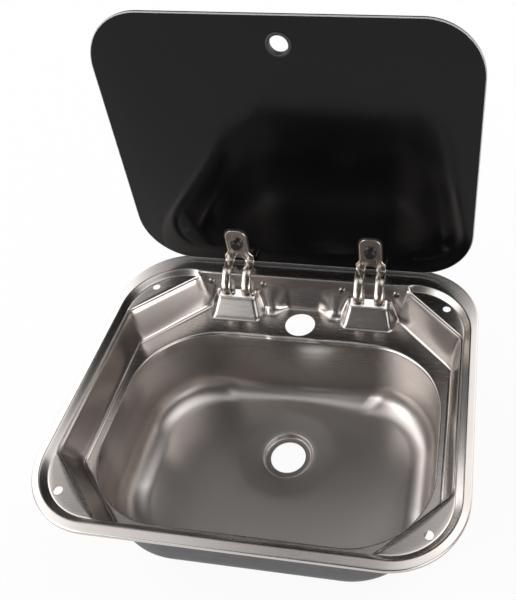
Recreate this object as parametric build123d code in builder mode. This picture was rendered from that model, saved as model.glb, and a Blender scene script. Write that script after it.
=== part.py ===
"""RV sink with a folding glass lid.

A pressed stainless sink with a raised rim, four sunken corner flats for the worktop screws,
an eight-sided recess, a ledge and a deep bowl.  A glass lid turns on two hinges whose arms
pass through slots in two pressed pockets of the recess's rear wall.

Millimetres.  Origin: centre of the four worktop screw holes, on the worktop surface.
+X to the right, +Y to the rear (the hinge side), +Z up.  The lid is drawn open.
"""
from build123d import *
from math import acos, atan2, cos, degrees, radians, sin, tan
import os

os.makedirs("parts", exist_ok=True)

# ---------------------------------------------------------------- sheet and rim
sheet = 0.8                  # stainless sheet
rim_length = 420.0           # left to right over the turned-down edge
rim_width = 370.0            # front to rear over the turned-down edge
rim_corner = 76.0
rim_edge = 3.8               # height of the turned-down edge above the worktop
edge_round = 1.4
rear_extra = 20.0            # the rear band is this much wider than the front one
crest_side_run = 8.0         # from the rim's edge to the crest, measured level
crest_front_run = 8.5
crest_height = 6.0
crest_round = 2.4
crest_easing = 10.0          # crest corners are tighter than the rim's
band_run = 6.5               # inner slope, measured across
band_lift = 0.65             # overlap of the band with the rim, as a share of the skin
under_crest = 1.5            # the recess walls join the rim this far below the crest
flat_height = sheet          # the corner flats lie on the worktop
rim_centre_y = rear_extra / 2
crest_length = rim_length - 2 * crest_side_run
crest_width = rim_width - rear_extra - 2 * crest_front_run
crest_corner = rim_corner - crest_easing

# ---------------------------------------------------------------- recess and ledge
ledge_drop = 41.0            # ledge below the worktop
side_land = 7.8              # from the crest to the recess walls, at the flats' height
rear_land = 4.1
front_land = 5.9
side_lean = 9.7              # how far each wall comes in on its way down to the ledge
rear_lean = 3.9
front_lean = 10.6
diagonal_lean = 22.6
corner_cut = 66.6            # the slanting walls cut this much off the recess's corners
recess_corner = 5.0
ledge_round = 2.2            # at the foot of the recess walls
flat_round = 1.2             # along the inner edge of the corner flats
side_top = crest_length / 2 - side_land        # half-distances of the walls at the top
rear_top = crest_width / 2 - rear_land
front_top = crest_width / 2 - front_land
diagonal_top = side_top + rear_top - corner_cut            # |x| + |y| on a slanting wall
side_base = side_top - side_lean               # and at the ledge
rear_base = rear_top - rear_lean
front_base = front_top - front_lean
diagonal_base = diagonal_top - diagonal_lean

# ---------------------------------------------------------------- bowl
side_ledge = 9.25            # ledge left between the recess walls and the bowl
front_ledge = 12.35
rear_ledge = 51.65
bowl_corner = 86.0
bowl_draft = 1.2             # degrees
bowl_round = 32.0            # between wall and floor
bowl_lip = 1.2
bowl_depth = 97.8            # ledge to floor near the walls
draft_share = 1.03           # a leaning wall's thickness, measured level
drain_offset = 29.3          # drain behind the middle of the bowl
drain_radius = 20.6
ring_land = 8.9              # seat for the waste, around the drain hole
drain_seat = 4.0             # depth of that seat
seat_slope = 0.7             # inward run of the seat's side for each millimetre down
dish_land = 27.5             # the floor falls to the seat inside this ring
dish_fall = 2.2
bowl_length = 2 * (side_base - side_ledge)
bowl_width = front_base - front_ledge + rear_base - rear_ledge
bowl_centre_y = rear_base - rear_ledge - bowl_width / 2
drain_y = bowl_centre_y + drain_offset
drain_ring = drain_radius + ring_land
dish_radius = drain_ring + dish_land

# ---------------------------------------------------------------- holes
screw_side_inset = 28.0      # worktop screws inside the crest
screw_end_inset = 30.0
screw_hole = 4.5
tap_inset = 26.5             # tap hole in front of the rear wall's foot
tap_hole = 18.0
cut_reach = 12.0             # how far hole cutters run past the sheet
screw_x = crest_length / 2 - screw_side_inset
screw_y = crest_width / 2 - screw_end_inset
tap_y = rear_base - tap_inset

# ---------------------------------------------------------------- lid hinge, seen from the side
pivot_behind = 10.6          # pivot behind the top of the rear wall
pivot_drop = 8.6             # pivot below the worktop
pivot_ahead = 12.5           # glass front face behind the pivot, lid open
arm_sheet = 1.5
arm_half = 18.0              # over both legs
arc_radius = 17.5            # the legs' curve about the pivot
arc_end = 155.0              # degrees from upright, towards the front
arm_inner_bend = 3.0
plate_bend = 4.0
eye_wrap = 285.0             # degrees of strip round the pin
pivot_y = rear_top + pivot_behind
pivot_z = -pivot_drop
arm_top = pivot_z + arc_radius         # level run over the pivot, lid open
glass_front = pivot_y + pivot_ahead

# ---------------------------------------------------------------- hinge pockets
hinge_inset = 46.6           # hinges inside the ends of the rear wall
slot_clear = 4.0             # sideways, beside the legs
slot_front_clear = 5.15      # in front of the legs' curve
slot_over = 2.0              # the slot's cutter runs this far past the wall
slot_rise = 1.8              # it takes away the bend between the roof and the wall
slot_deep = 8.0              # its full depth
roof_land = 1.6              # roof left in front of the slot
roof_side = 0.6              # and beside it
pocket_spread = 6.15         # half-widths grow by this much down to the ledge
pocket_slope = 16.0          # forward run of the front
pocket_top = 19.5            # roof below the worktop
pocket_flank = 0.33          # sideways run of a flank for each millimetre to the rear
pocket_round = 3.0
pocket_brow = 1.8            # between the front and the roof
pocket_foot = 1.5
inner_share = 0.9            # how a bend's radius shrinks on the sheet's inner side
bay_side = 9.0               # ledge left beside the tap hole
bulge_depth = 10.5           # ledge taken up by the swellings, ahead of the rear wall's foot
bulge_overlap = 21.0         # the swellings run this far short of the hinges' middles
bulge_flare = 0.6            # sideways run of their inner flanks
bulge_top = 11.0
bulge_setback = 1.0          # their fronts end this far behind the top of the rear wall
bulge_round = 8.0
behind_wall = 10.0           # how far the pocket forms run past the rear wall
below_ledge = 4.0            # and below the ledge
hinge_x = diagonal_top - rear_top - hinge_inset
slot_half = arm_half + slot_clear
slot_front = pivot_y - arc_radius - arm_sheet / 2 - slot_front_clear
pocket_half_top = slot_half + roof_side
pocket_half_base = pocket_half_top + pocket_spread
pocket_front_top = slot_front - roof_land
pocket_front_base = pocket_front_top - pocket_slope
bulge_inner = tap_hole + bay_side
bulge_outer = hinge_x - bulge_overlap
bulge_front = rear_base - bulge_depth

# ---------------------------------------------------------------- lid glass
glass_thick = 4.0
glass_foot = 7.2             # lower edge above the worktop, lid open
glass_side_gap = 3.5         # closed lid to the crest
glass_front_gap = 5.7
glass_corner = 61.5
glass_edge = 0.5
finger_inset = 30.0          # finger hole behind the front edge of the closed lid
grommet_bore = 9.5
grommet_wall = 1.8
grommet_cover = 1.8          # how far the grommet's lips cover the glass
grommet_lip = 1.6
grommet_round = 0.6
grommet_fit = 0.05
glass_length = crest_length - 2 * glass_side_gap
glass_width = pivot_y + pivot_z - glass_foot + crest_width / 2 - glass_front_gap
finger_from_hinge = glass_width - finger_inset
grommet_hole = grommet_bore + grommet_wall
grommet_outer = grommet_hole + grommet_cover

# ---------------------------------------------------------------- hinge arms, seen from the front
leg_gap_half = 7.0
plate_half = 13.0
plate_corner = 10.0
shoulder_lift = 7.5          # shoulders above the arm's level run
shoulder_rise = 9.0
shoulder_round = 3.0
arch_rise = 7.1              # top of the arch above that run
arch_corner = 6.5
bolt_rise = 27.9             # lid bolt above it
plate_over = 20.0            # plate above the lid bolt
pad_thick = 1.0
pad_margin = 1.6
shoulder_low = arm_top + shoulder_lift
shoulder_high = shoulder_low + shoulder_rise
arch_height = arm_top + arch_rise
cap_height = arm_top + bolt_rise
plate_top = cap_height + plate_over

# ---------------------------------------------------------------- hinge hardware
part_gap = 0.1               # between neighbouring pieces that don't press on each other
pin_radius = 2.5
pin_fit = 0.05
pin_tail = 1.0
pin_edge = 0.3
clip_thick = 0.8
clip_cover = 1.7             # clip's rim outside the pin
groove_depth = 0.6
clip_mouth = 3.2
washer_thick = 1.8
washer_cover = 3.0
washer_gap = 0.2             # running clearance beside the arm and the cheeks
bracket_sheet = 2.0
cheek_cover = 3.5            # cheek metal round the pin
cheek_foot = 11.0            # height of a cheek where it meets the web
foot_share = 0.4             # how much of the web's thickness a cheek's foot takes up
ear_low = -7.5               # the web's edges, up the wall from the screws
ear_high = 7.9
ear_corner = 5.0
ear_margin = 6.0             # web beyond the screws
hinge_screw_offset = 32.5
hinge_screw_drop = 7.5
hinge_screw_radius = 2.0
hinge_screw_clear = 0.2
hinge_screw_tail = 1.2
hinge_head_cover = 2.1       # head's rim outside the shank
hinge_head_height = 2.2
hinge_head_round = 1.4
cross_long = 4.4             # cross recess
cross_wide = 0.9
cross_deep = 1.3
hinge_nut_half = 3.5         # half the nut's width across flats
hinge_nut_height = 3.2
nut_clear = 0.05
lid_bolt_radius = 3.0
lid_bolt_clear = 0.2
lid_bolt_tail = 0.5
sleeve_wall = 1.9
disc_radius = 12.0
disc_height = 2.0
disc_round = 0.8
gasket_thick = 1.0
gasket_inset = 0.6
lid_nut_half = 5.0
lid_nut_height = 3.6
cap_wall = 0.9
cap_flange = 1.6
cap_cover = 1.6              # the cap's round foot outside its six sides
cap_end = 1.2                # thickness over the nut
cap_round = 1.2
cap_room = 0.8               # space over the nut inside its cap
washer_radius = pin_radius + washer_cover
clip_radius = pin_radius + clip_cover
clip_groove = pin_radius - groove_depth
cheek_half = arm_half + washer_thick + 2 * washer_gap      # inner faces of the cheeks
cheek_round = pin_radius + cheek_cover
ear_half = hinge_screw_offset + ear_margin
hinge_head_radius = hinge_screw_radius + hinge_head_cover
lid_bolt_hole = lid_bolt_radius + lid_bolt_clear
sleeve_radius = lid_bolt_radius + part_gap + sleeve_wall
glass_hole = sleeve_radius + part_gap
cap_half = lid_nut_half + part_gap + cap_wall
cap_radius = cap_half + cap_cover
cap_depth = lid_nut_height + cap_room + cap_end

near = 0.01                  # tolerance when edges are picked by their place


def ring_of(length, width, corner, height, centre_y=0.0):
    """A rounded rectangle lying flat at the given height."""
    with BuildSketch(Plane.XY.offset(height)) as ring:
        with Locations((0, centre_y)):
            RectangleRounded(length, width, corner)
    return ring.sketch


def frustum(lower, upper):
    """A straight-sided solid between two level outlines with matching corners."""
    with BuildPart() as body:
        add(lower)
        add(upper)
        loft(ruled=True)
    return body.part


def flat_sided(low_points, low, high_points, high):
    """A block with flat sides between two level outlines whose edges run parallel."""
    lower = [Vector(x, y, low) for x, y in low_points]
    upper = [Vector(x, y, high) for x, y in high_points]
    following = [(i, (i + 1) % len(lower)) for i in range(len(lower))]
    sides = [Face(Wire.make_polygon([lower[i], lower[j], upper[j], upper[i]])) for i, j in following]
    ends = [Face(Wire.make_polygon(lower)), Face(Wire.make_polygon(upper))]
    return Solid(Shell(sides + ends))


def recess_points(height, grow):
    """The eight corners of the recess at one height, enlarged by grow."""
    share = (flat_height - height) / (flat_height + ledge_drop)
    side = side_top + (side_base - side_top) * share + grow
    rear = rear_top + (rear_base - rear_top) * share + grow
    front = front_top + (front_base - front_top) * share + grow
    slant = diagonal_top + (diagonal_base - diagonal_top) * share + grow * 2 ** 0.5
    return [
        (side, slant - side), (slant - rear, rear), (rear - slant, rear), (-side, slant - side),
        (-side, side - slant), (front - slant, -front), (slant - front, -front), (side, side - slant),
    ]


def pocket_points(height, shrink):
    """A hinge pocket's outline about its own middle line at one height."""
    share = (height + ledge_drop) / (ledge_drop - pocket_top)
    front = pocket_front_base + (pocket_front_top - pocket_front_base) * share + shrink
    half = pocket_half_base + (pocket_half_top - pocket_half_base) * share - shrink
    back = rear_top + behind_wall
    wide = half + pocket_flank * (back - front)
    return [(-half, front), (half, front), (wide, back), (-wide, back)]


def bulge_points(height, shrink):
    """One swelling beside the tap bay at one height."""
    share = (height + ledge_drop) / (ledge_drop - bulge_top)
    front = bulge_front + (rear_top + bulge_setback - bulge_front) * share + shrink
    back = rear_top + behind_wall
    inner = bulge_inner + shrink
    return [
        (inner, front), (bulge_outer, front), (bulge_outer, back),
        (inner - bulge_flare * (back - front), back),
    ]


def pocket_form(shrink):
    """The solid that keeps the recess clear of one hinge pocket."""
    low = -ledge_drop - below_ledge
    high = -pocket_top - shrink
    with BuildPart() as form:
        add(flat_sided(pocket_points(low, shrink), low, pocket_points(high, shrink), high))
        rising = form.edges().filter_by(lambda e: abs(e.tangent_at(0.5).Z) > 0.5)
        front_pair = rising.sort_by(Axis.Y)[:2]
        fillet(front_pair, pocket_round - shrink * inner_share)
        top_front = form.faces().sort_by(Axis.Z)[-1].edges().sort_by(Axis.Y)[0]
        fillet([top_front], pocket_brow - shrink * inner_share)
    return form.part


def bulge_form(shrink):
    low = -ledge_drop - below_ledge
    high = -bulge_top
    with BuildPart() as form:
        add(flat_sided(bulge_points(low, shrink), low, bulge_points(high, shrink), high))
        rising = form.edges().filter_by(lambda e: abs(e.tangent_at(0.5).Z) > 0.3)
        nose = rising.sort_by(lambda e: e.center().Y + abs(e.center().X))[:1]
        fillet(nose, bulge_round - shrink * inner_share)
    return form.part


def on_pocket_foot(edge):
    """Whether an edge of the ledge bounds the front or a flank of a pocket or swelling."""
    middle = edge.center()
    reach = hinge_x + pocket_half_base + pocket_flank * pocket_slope
    ahead = pocket_front_base - near < middle.Y < rear_base - ledge_round + near
    return ahead and abs(middle.X) < reach


def recess_form(skin, above):
    """The open recess with its pockets and swellings, enlarged by skin all round."""
    grow = skin * draft_share
    floor = -ledge_drop - skin
    with BuildPart() as space:
        add(flat_sided(recess_points(floor, grow), floor, recess_points(above, grow), above))
        standing = space.edges().filter_by(lambda e: abs(e.tangent_at(0.5).Z) > 0.5)
        fillet(standing, recess_corner + skin)
        fillet(space.faces().sort_by(Axis.Z)[0].edges(), ledge_round + skin)
        with Locations((hinge_x, 0, 0), (-hinge_x, 0, 0)):
            add(pocket_form(grow), mode=Mode.SUBTRACT)
        swelling = bulge_form(grow)
        add(swelling, mode=Mode.SUBTRACT)
        add(mirror(swelling, Plane.YZ), mode=Mode.SUBTRACT)
        low_edges = space.edges().filter_by(lambda e: abs(e.center().Z - floor) < near)
        fillet(low_edges.filter_by(on_pocket_foot), pocket_foot)
    return space.part


def bowl_form(skin):
    """The bowl, its dished floor and the seat for the waste, enlarged by skin all round."""
    floor = -ledge_drop - bowl_depth
    with BuildPart() as space:
        add(ring_of(bowl_length + 2 * skin, bowl_width + 2 * skin, bowl_corner + skin,
                    -ledge_drop, bowl_centre_y))
        extrude(amount=-bowl_depth - skin, taper=bowl_draft)
        fillet(space.faces().sort_by(Axis.Z)[0].edges(), bowl_round + skin)
        with Locations((0, drain_y, floor - skin - dish_fall / 2)):
            Cone(drain_ring, dish_radius, dish_fall)
        with Locations((0, drain_y, floor - dish_fall - skin - drain_seat / 2)):
            Cone(drain_ring - drain_seat * seat_slope + skin, drain_ring + skin, drain_seat)
    return space.part


def rim_form(skin):
    """Everything under the rim's upper surface, made smaller by skin."""
    top = crest_height - skin * draft_share
    with BuildPart() as block:
        add(ring_of(rim_length - 2 * skin, rim_width - 2 * skin, rim_corner - skin, 0, rim_centre_y))
        extrude(amount=rim_edge - skin)
        add(frustum(
            ring_of(rim_length - 2 * skin, rim_width - 2 * skin, rim_corner - skin,
                    rim_edge - skin, rim_centre_y),
            ring_of(crest_length, crest_width, crest_corner, top)))
    return block.part


def band_form(skin):
    """The open space between the crest and the level of the corner flats."""
    slope = (crest_height - flat_height) / band_run
    drop = skin * (1 + slope ** 2) ** 0.5
    lift = skin * band_lift
    inner = band_run - (drop - skin) / slope
    outer = lift / slope
    return frustum(
        ring_of(crest_length - 2 * inner, crest_width - 2 * inner, crest_corner - inner,
                flat_height - skin),
        ring_of(crest_length + 2 * outer, crest_width + 2 * outer, crest_corner + outer,
                crest_height - drop + lift))


def wall_y(height):
    """Where the recess's leaning rear wall stands at one height."""
    return rear_top - (flat_height - height) * tan(radians(wall_lean))


def level_edges(part, height):
    """The edges of the part that lie at one height."""
    return part.edges().filter_by_position(Axis.Z, height - near, height + near).filter_by(
        lambda e: e.bounding_box().size.Z < 2 * near)


def slants(edge):
    """Whether an edge is a straight line that runs along neither X nor Y."""
    along = edge.tangent_at(0.5)
    return edge.geom_type == GeomType.LINE and min(abs(along.X), abs(along.Y)) > 0.3


def on_bowl_rim(edge):
    middle = edge.center()
    beside = abs(middle.X) < bowl_length / 2 + bowl_lip
    return beside and abs(middle.Y - bowl_centre_y) < bowl_width / 2 + bowl_lip and not slants(edge)


wall_lean = degrees(atan2(rear_top - rear_base, flat_height + ledge_drop))
wall_skin = sheet * draft_share * cos(radians(wall_lean))
wall_front = Plane(origin=(0, wall_y(-hinge_screw_drop), -hinge_screw_drop), x_dir=(1, 0, 0),
                   z_dir=(0, -cos(radians(wall_lean)), sin(radians(wall_lean))))
hinge_sides = (("left", -hinge_x), ("right", hinge_x))
hinge_screw_places = [(where + offset, 0) for _, where in hinge_sides
                      for offset in (-hinge_screw_offset, hinge_screw_offset)]

# ---------------------------------------------------------------- the pressed sink
with BuildPart() as sink:
    add(rim_form(0))
    add(rim_form(sheet), mode=Mode.SUBTRACT)
    add(band_form(sheet))
    add(recess_form(sheet, crest_height - under_crest))
    add(bowl_form(sheet))
    add(band_form(0), mode=Mode.SUBTRACT)
    add(recess_form(0, 2 * crest_height), mode=Mode.SUBTRACT)
    add(bowl_form(0), mode=Mode.SUBTRACT)
    # the crest, the rim's edge, the bowl's lip and the corner flats' inner edges are rounded
    fillet(level_edges(sink, crest_height), crest_round)
    fillet(level_edges(sink, rim_edge), edge_round)
    ledge_edges = level_edges(sink, -ledge_drop)
    fillet(ledge_edges.filter_by(on_bowl_rim), bowl_lip)
    flat_edges = level_edges(sink, flat_height)
    fillet(flat_edges.filter_by(slants), flat_round)
    # worktop screw holes, tap hole and drain
    with BuildSketch(Plane.XY.offset(crest_height)):
        with GridLocations(2 * screw_x, 2 * screw_y, 2, 2):
            Circle(screw_hole)
    extrude(amount=-cut_reach, mode=Mode.SUBTRACT)
    with BuildSketch(Plane.XY.offset(-ledge_drop + cut_reach / 2)):
        with Locations((0, tap_y)):
            Circle(tap_hole)
    extrude(amount=-cut_reach, mode=Mode.SUBTRACT)
    with BuildSketch(Plane.XY.offset(-ledge_drop - bowl_depth)):
        with Locations((0, drain_y)):
            Circle(drain_radius)
    extrude(amount=-cut_reach, mode=Mode.SUBTRACT)
    # the slots for the hinge arms, open from the pocket's roof to the wall
    slot_back = rear_top + slot_over
    with BuildSketch(Plane.XY.offset(-pocket_top + slot_rise)):
        with Locations((hinge_x, 0), (-hinge_x, 0)):
            with Locations((0, (slot_front + slot_back) / 2)):
                Rectangle(2 * slot_half, slot_back - slot_front)
    extrude(amount=-slot_deep, mode=Mode.SUBTRACT)
    # clearance holes for the hinge screws, square to the leaning rear wall
    with BuildSketch(wall_front):
        with Locations(*hinge_screw_places):
            Circle(hinge_screw_radius + hinge_screw_clear)
    extrude(amount=2 * sheet, both=True, mode=Mode.SUBTRACT)
sink.part.label = "sink_bowl"
export_step(sink.part, "parts/sink_bowl.step")

# ---------------------------------------------------------------- the glass lid, drawn open
finger_z = glass_foot + finger_from_hinge
upright = Plane.XZ.offset(-glass_front)          # faces the front of the sink
with BuildPart() as glass:
    with BuildSketch(upright):
        with Locations((0, glass_foot + glass_width / 2)):
            RectangleRounded(glass_length, glass_width, glass_corner)
    extrude(amount=-glass_thick)
    chamfer(glass.edges().filter_by(lambda e: e.bounding_box().size.Y < near), glass_edge)
    with BuildSketch(upright):
        with Locations((0, finger_z)):
            Circle(grommet_hole)
        with Locations((hinge_x, cap_height), (-hinge_x, cap_height)):
            Circle(glass_hole)
    extrude(amount=-glass_thick, mode=Mode.SUBTRACT)
glass.part.label = "lid_glass"
export_step(glass.part, "parts/lid_glass.step")

with BuildPart() as grommet:
    with BuildSketch(upright.offset(grommet_lip)):
        with Locations((0, finger_z)):
            Circle(grommet_outer)
            Circle(grommet_bore, mode=Mode.SUBTRACT)
    extrude(amount=-glass_thick - 2 * grommet_lip)
    fillet(grommet.edges().filter_by(GeomType.CIRCLE), grommet_round)
    with BuildSketch(upright):
        with Locations((0, finger_z)):
            Circle(grommet_outer + grommet_cover)
            Circle(grommet_hole - grommet_fit, mode=Mode.SUBTRACT)
    extrude(amount=-glass_thick, mode=Mode.SUBTRACT)
grommet.part.label = "finger_hole_grommet"
export_step(grommet.part, "parts/finger_hole_grommet.step")

# ---------------------------------------------------------------- hinge arms
plate_mid = glass_front - pad_thick - arm_sheet / 2       # middle of the plate's thickness
plate_front = plate_mid - arm_sheet / 2
eye_mid = pin_radius + pin_fit + arm_sheet / 2            # middle of the strip round the pin
end_turn = 90.0 + arc_end                                 # where the legs leave their curve
bend_distance = arc_radius - arm_inner_bend
bend_y = pivot_y + bend_distance * cos(radians(end_turn))
bend_z = pivot_z + bend_distance * sin(radians(end_turn))
# the straight run to the pin touches the bend and the eye on the same side
side_turn = end_turn - 180.0 + degrees(acos((eye_mid - arm_inner_bend) / bend_distance))
touch_turn = side_turn - 180.0
bend_touch = (bend_y + arm_inner_bend * cos(radians(touch_turn)),
              bend_z + arm_inner_bend * sin(radians(touch_turn)))
eye_touch = (pivot_y + eye_mid * cos(radians(touch_turn)),
             pivot_z + eye_mid * sin(radians(touch_turn)))

arm_low = pivot_z - 2 * arc_radius                        # below everything of the arm
past_lid = glass_front + arc_radius                       # behind everything of the arm

for side, where in hinge_sides:
    with BuildPart() as arm:
        with BuildSketch(Plane.YZ.offset(where)):
            with BuildLine():
                Line((plate_mid, plate_top), (plate_mid, arm_top + plate_bend))
                CenterArc((plate_mid - plate_bend, arm_top + plate_bend), plate_bend, 0, -90)
                Line((plate_mid - plate_bend, arm_top), (pivot_y, arm_top))
                CenterArc((pivot_y, pivot_z), arc_radius, 90, arc_end)
                CenterArc((bend_y, bend_z), arm_inner_bend, end_turn,
                          touch_turn + 360.0 - end_turn)
                Line(bend_touch, eye_touch)
                CenterArc((pivot_y, pivot_z), eye_mid, touch_turn, eye_wrap)
            trace(line_width=arm_sheet)
        extrude(amount=arm_half, both=True)
        # the front view: a rounded plate over shoulders and two legs
        with BuildSketch(Plane.XZ) as front_view:
            with BuildLine():
                Polyline((where - arm_half, arm_low), (where + arm_half, arm_low),
                         (where + arm_half, shoulder_low), (where + plate_half, shoulder_high),
                         (where + plate_half, plate_top), (where - plate_half, plate_top),
                         (where - plate_half, shoulder_high), (where - arm_half, shoulder_low),
                         close=True)
            make_face()
            fillet(front_view.vertices().sort_by(Axis.Y)[-2:], plate_corner)
            fillet(front_view.vertices().filter_by(
                lambda v: shoulder_low - near < v.Y < shoulder_high + near), shoulder_round)
        extrude(amount=-past_lid, mode=Mode.INTERSECT)
        with BuildSketch(Plane.XZ):
            with Locations((where, (arch_height + arm_low) / 2)):
                RectangleRounded(2 * leg_gap_half, arch_height - arm_low, arch_corner)
            with Locations((where, cap_height)):
                Circle(lid_bolt_hole)
        extrude(amount=-past_lid, mode=Mode.SUBTRACT)
    arm.part.label = f"hinge_arm_{side}"
    export_step(arm.part, f"parts/hinge_arm_{side}.step")

    # a soft pad keeps the plate off the glass
    with BuildPart() as pad:
        with BuildSketch(upright):
            pad_low = arm_top + plate_bend
            pad_high = plate_top + pad_margin
            with Locations((where, (pad_low + pad_high) / 2)):
                RectangleRounded(2 * (plate_half + pad_margin), pad_high - pad_low, plate_corner)
            with Locations((where, cap_height)):
                Circle(lid_bolt_hole, mode=Mode.SUBTRACT)
        extrude(amount=pad_thick)
    pad.part.label = f"hinge_pad_{side}"
    export_step(pad.part, f"parts/hinge_pad_{side}.step")

    # the bolt through the glass, with its sleeve, gasket, nut and cap
    with BuildPart() as bolt:
        with BuildSketch(upright.offset(-glass_thick - gasket_thick)):
            with Locations((where, cap_height)):
                Circle(disc_radius)
        extrude(amount=-disc_height)
        fillet(bolt.edges().sort_by(Axis.Y)[-1], disc_round)
        with BuildSketch(upright.offset(-glass_thick - gasket_thick)):
            with Locations((where, cap_height)):
                Circle(lid_bolt_radius)
        stack = glass_thick + gasket_thick + pad_thick + arm_sheet + lid_nut_height
        extrude(amount=stack + lid_bolt_tail)
    bolt.part.label = f"lid_bolt_{side}"
    export_step(bolt.part, f"parts/lid_bolt_{side}.step")

    with BuildPart() as gasket:
        with BuildSketch(upright.offset(-glass_thick)):
            with Locations((where, cap_height)):
                Circle(disc_radius - gasket_inset)
                Circle(lid_bolt_hole, mode=Mode.SUBTRACT)
        extrude(amount=-gasket_thick)
    gasket.part.label = f"disc_gasket_{side}"
    export_step(gasket.part, f"parts/disc_gasket_{side}.step")

    with BuildPart() as sleeve:
        with BuildSketch(upright):
            with Locations((where, cap_height)):
                Circle(sleeve_radius)
                Circle(lid_bolt_radius + part_gap, mode=Mode.SUBTRACT)
        extrude(amount=-glass_thick)
    sleeve.part.label = f"glass_sleeve_{side}"
    export_step(sleeve.part, f"parts/glass_sleeve_{side}.step")

    with BuildPart() as nut:
        with BuildSketch(Plane.XZ.offset(-plate_front)):
            with Locations((where, cap_height)):
                RegularPolygon(lid_nut_half, 6, major_radius=False)
                Circle(lid_bolt_radius + nut_clear, mode=Mode.SUBTRACT)
        extrude(amount=lid_nut_height)
    nut.part.label = f"lid_nut_{side}"
    export_step(nut.part, f"parts/lid_nut_{side}.step")

    with BuildPart() as cap:
        with BuildSketch(Plane.XZ.offset(-plate_front)):
            with Locations((where, cap_height)):
                Circle(cap_radius)
        extrude(amount=cap_flange)
        with BuildSketch(Plane.XZ.offset(-plate_front)):
            with Locations((where, cap_height)):
                RegularPolygon(cap_half, 6, major_radius=False)
        extrude(amount=cap_depth)
        fillet(cap.faces().sort_by(Axis.Y)[0].edges(), cap_round)
        with BuildSketch(Plane.XZ.offset(-plate_front)):
            with Locations((where, cap_height)):
                RegularPolygon(lid_nut_half + part_gap, 6, major_radius=False)
        extrude(amount=lid_nut_height + cap_room, mode=Mode.SUBTRACT)
    cap.part.label = f"nut_cap_{side}"
    export_step(cap.part, f"parts/nut_cap_{side}.step")

    # the bracket behind the recess wall: a web with screw ears and two cheeks for the pin
    with BuildPart() as bracket:
        with BuildSketch(wall_front.offset(-wall_skin)):
            with Locations((where, (ear_low + ear_high) / 2)):
                RectangleRounded(2 * ear_half, ear_high - ear_low, ear_corner)
        extrude(amount=-bracket_sheet)
        web_y = wall_y(-hinge_screw_drop) + wall_skin + bracket_sheet / 2
        for cheek_x in (where + cheek_half, where - cheek_half - bracket_sheet):
            with BuildSketch(Plane.YZ.offset(cheek_x)):
                with Locations((pivot_y, pivot_z)):
                    Circle(cheek_round)
                with Locations((web_y, -hinge_screw_drop)):
                    Rectangle(foot_share * bracket_sheet, cheek_foot)
                make_hull()
            extrude(amount=bracket_sheet)
        with BuildSketch(Plane.YZ.offset(where)):
            with Locations((pivot_y, pivot_z)):
                Circle(pin_radius + pin_fit)
        extrude(amount=cheek_half + 2 * bracket_sheet, both=True, mode=Mode.SUBTRACT)
        with BuildSketch(wall_front):
            with Locations((where - hinge_screw_offset, 0), (where + hinge_screw_offset, 0)):
                Circle(hinge_screw_radius + hinge_screw_clear)
        extrude(amount=-wall_skin - 2 * bracket_sheet, mode=Mode.SUBTRACT)
    bracket.part.label = f"hinge_bracket_{side}"
    export_step(bracket.part, f"parts/hinge_bracket_{side}.step")

    # the hinge pin with a groove near each end
    groove_start = cheek_half + bracket_sheet + part_gap
    groove_wide = clip_thick + part_gap
    with BuildPart() as pin:
        with BuildSketch(Plane.YZ.offset(where)):
            with Locations((pivot_y, pivot_z)):
                Circle(pin_radius)
        extrude(amount=groove_start + groove_wide + pin_tail, both=True)
        chamfer(pin.edges(), pin_edge)
        for groove_x in (where + groove_start, where - groove_start - groove_wide):
            with BuildSketch(Plane.YZ.offset(groove_x)):
                with Locations((pivot_y, pivot_z)):
                    Circle(pin_radius + pin_tail)
                    Circle(clip_groove, mode=Mode.SUBTRACT)
            extrude(amount=groove_wide, mode=Mode.SUBTRACT)
    pin.part.label = f"hinge_pin_{side}"
    export_step(pin.part, f"parts/hinge_pin_{side}.step")

    with BuildPart() as clips:
        for clip_x in (where + groove_start + part_gap / 2,
                       where - groove_start - groove_wide + part_gap / 2):
            with BuildSketch(Plane.YZ.offset(clip_x)):
                with Locations((pivot_y, pivot_z)):
                    Circle(clip_radius)
                    Circle(clip_groove + part_gap / 2, mode=Mode.SUBTRACT)
                with Locations((pivot_y, pivot_z - clip_radius)):
                    Rectangle(clip_mouth, 2 * clip_radius, mode=Mode.SUBTRACT)
            extrude(amount=clip_thick)
    clips.part.label = f"pin_clips_{side}"
    export_step(clips.part, f"parts/pin_clips_{side}.step")

    with BuildPart() as washers:
        for washer_x in (where + arm_half + washer_gap,
                         where - arm_half - washer_gap - washer_thick):
            with BuildSketch(Plane.YZ.offset(washer_x)):
                with Locations((pivot_y, pivot_z)):
                    Circle(washer_radius)
                    Circle(pin_radius + pin_fit, mode=Mode.SUBTRACT)
            extrude(amount=washer_thick)
    washers.part.label = f"pivot_washers_{side}"
    export_step(washers.part, f"parts/pivot_washers_{side}.step")

    # two cross-recess screws with their nuts
    with BuildPart() as screws:
        for screw_at in (where - hinge_screw_offset, where + hinge_screw_offset):
            with BuildSketch(wall_front):
                with Locations((screw_at, 0)):
                    Circle(hinge_head_radius)
            extrude(amount=hinge_head_height)
            with BuildSketch(wall_front):
                with Locations((screw_at, 0)):
                    Circle(hinge_screw_radius)
            extrude(amount=-wall_skin - bracket_sheet - hinge_nut_height - hinge_screw_tail)
        crowns = screws.edges().filter_by(GeomType.CIRCLE).sort_by(Axis.Y)[:2]
        fillet(crowns, hinge_head_round)
        for screw_at in (where - hinge_screw_offset, where + hinge_screw_offset):
            with BuildSketch(wall_front.offset(hinge_head_height - cross_deep)):
                with Locations((screw_at, 0)):
                    Rectangle(cross_long, cross_wide)
                    Rectangle(cross_wide, cross_long)
            extrude(amount=2 * cross_deep, mode=Mode.SUBTRACT)
    screws.part.label = f"hinge_screws_{side}"
    export_step(screws.part, f"parts/hinge_screws_{side}.step")

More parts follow.
